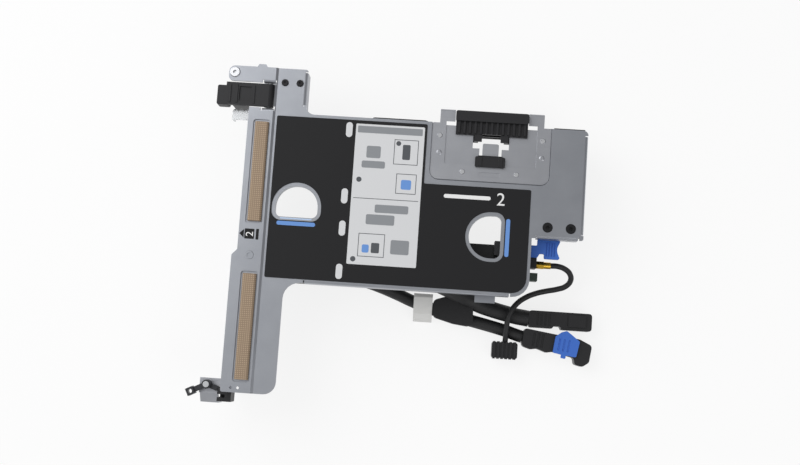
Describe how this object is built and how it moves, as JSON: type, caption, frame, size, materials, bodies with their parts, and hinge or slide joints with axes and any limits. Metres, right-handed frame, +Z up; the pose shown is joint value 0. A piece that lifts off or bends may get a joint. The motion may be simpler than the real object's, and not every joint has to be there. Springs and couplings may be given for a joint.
{
  "type": "riser cage bracket",
  "caption": "Folded sheet-metal riser cage with a card slot on an upright board, a lever latch for the card's rear bracket, a sliding card holder, finger holes and cable tails with plugs",
  "frame": {"origin": "at the foot of the rear panel, in the riser board's middle plane", "axes": "+X from the rear face to the front, +Y from the riser board towards the card, +Z up to the top plate"},
  "size_m": [0.1999, 0.169, 0.038],
  "materials": {
    "sheet": "zinc-plated sheet with a fine satin grain",
    "panel": "zinc-plated sheet",
    "gasket": "woven conductive cloth over foam",
    "label": "printed film, near black",
    "film": "thin insulating film",
    "rivet": "bright rivet",
    "black_screw": "black coated steel",
    "bright_screw": "zinc-plated steel",
    "black_plastic": "moulded black plastic",
    "dark_lever": "dark coated die casting",
    "bright_steel": "bright plated spring sheet",
    "bracket": "zinc-plated sheet",
    "board": "solder-masked glass fibre board",
    "connector": "moulded black connector plastic",
    "white_connector": "moulded white connector plastic",
    "chips": "chip packages",
    "blue": "moulded blue plastic",
    "brass": "turned and plated",
    "jacket": "matt cable jacket",
    "sleeve": "wrapped cloth tape",
    "tag": "blank paper tag"
  },
  "bodies": {
    "cage": {"top_plate": "sheet", "rear_panel_upper": "panel", "rear_panel_lower": "panel", "gasket_upper": "gasket", "gasket_lower": "gasket", "panel_label": "label", "insulating_film": "film", "corner_rivet": "rivet", "block_screws": "black_screw", "latch_base": "black_plastic", "tab_ledge": "bright_steel", "upper_latch_pin": "bright_screw", "lower_ledge": "bracket", "lower_latch_pin": "bright_screw", "tab_block": "black_plastic", "holder_bracket": "bracket", "holder_stop": "black_plastic", "holder_rivets": "rivet", "card_guide": "black_plastic", "front_screws": "black_screw", "riser_board": "board", "board_bracket": "bracket", "board_screws": "bright_screw", "card_slot": "connector", "rear_socket": "connector", "front_socket": "connector", "end_header": "white_connector", "board_chips": "chips", "side_socket": "white_connector", "side_plug": "connector", "pull_tab": "blue", "side_ferrule": "brass", "rear_board_plug": "connector", "front_board_plug": "connector", "signal_cable_lower": "jacket", "signal_cable_upper": "jacket", "side_cable": "jacket", "cable_sleeve": "sleeve", "cable_tag": "tag", "upper_plug": "connector", "lower_plug": "connector", "plug_clip": "blue", "ribbed_plug": "connector"},
    "latch_lever": {"upper_latch": "black_plastic"},
    "slide": {"holder_slide": "black_plastic"},
    "small_lever": {"lower_latch": "dark_lever"}
  },
  "joints": [
    {"name": "latch_hinge", "type": "hinge", "parent": "cage", "child": "latch_lever", "pos_m": [0.0094, 0.0778, 0.0344], "axis": [0, 1, 0], "range_deg": [0, 90]},
    {"name": "holder_travel", "type": "slide", "parent": "cage", "child": "slide", "axis": [0, 1, 0], "range_m": [0, 0.005]},
    {"name": "lever_hinge", "type": "hinge", "parent": "cage", "child": "small_lever", "pos_m": [-0.011, -0.0666, 0.028], "axis": [0, 0, 1], "range_deg": [-40, 40]}
  ]
}
